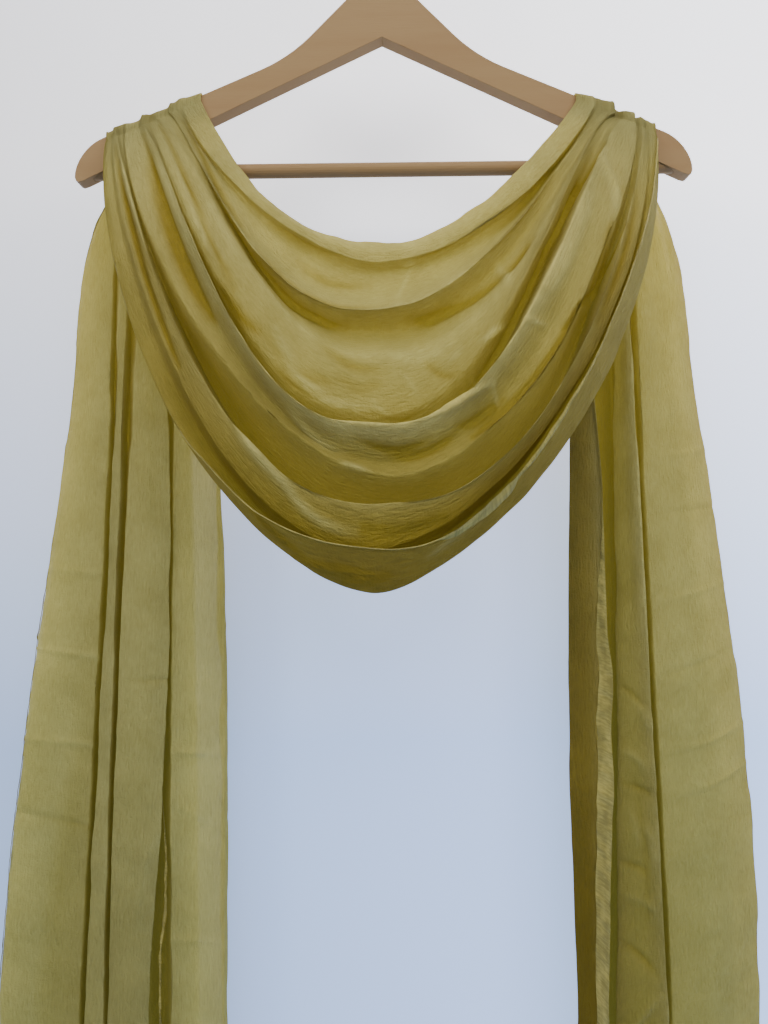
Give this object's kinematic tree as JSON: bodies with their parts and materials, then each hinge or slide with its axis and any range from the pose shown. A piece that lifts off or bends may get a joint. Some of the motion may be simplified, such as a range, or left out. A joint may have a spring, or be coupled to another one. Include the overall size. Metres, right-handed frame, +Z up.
{
  "type": "dupatta stole on hanger",
  "caption": "Plain olive chiffon dupatta stole draped as a cowl in front of a wooden hanger, its folded ends hanging behind on both sides.",
  "frame": {"origin": "inner top of the hook, where a rail holds the hanger", "axes": "+X to the right seen from the front, the front faces -Y, +Z up"},
  "size_m": [0.5812, 0.1281, 1.0492],
  "materials": {
    "chiffon": "sheer crinkled chiffon, plain dyed olive mustard, with shiny woven selvedges",
    "board_wood": "smooth flat wood, tan, satin",
    "bar_wood": "smooth turned wood, tan, satin",
    "hook_steel": "plain bent wire"
  },
  "bodies": {
    "root": {"swag": "chiffon", "left_shoulder": "chiffon", "right_shoulder": "chiffon", "left_panel": "chiffon", "right_panel": "chiffon", "hanger_board": "board_wood", "hanger_bar": "bar_wood", "hanger_hook": "hook_steel"}
  },
  "joints": []
}
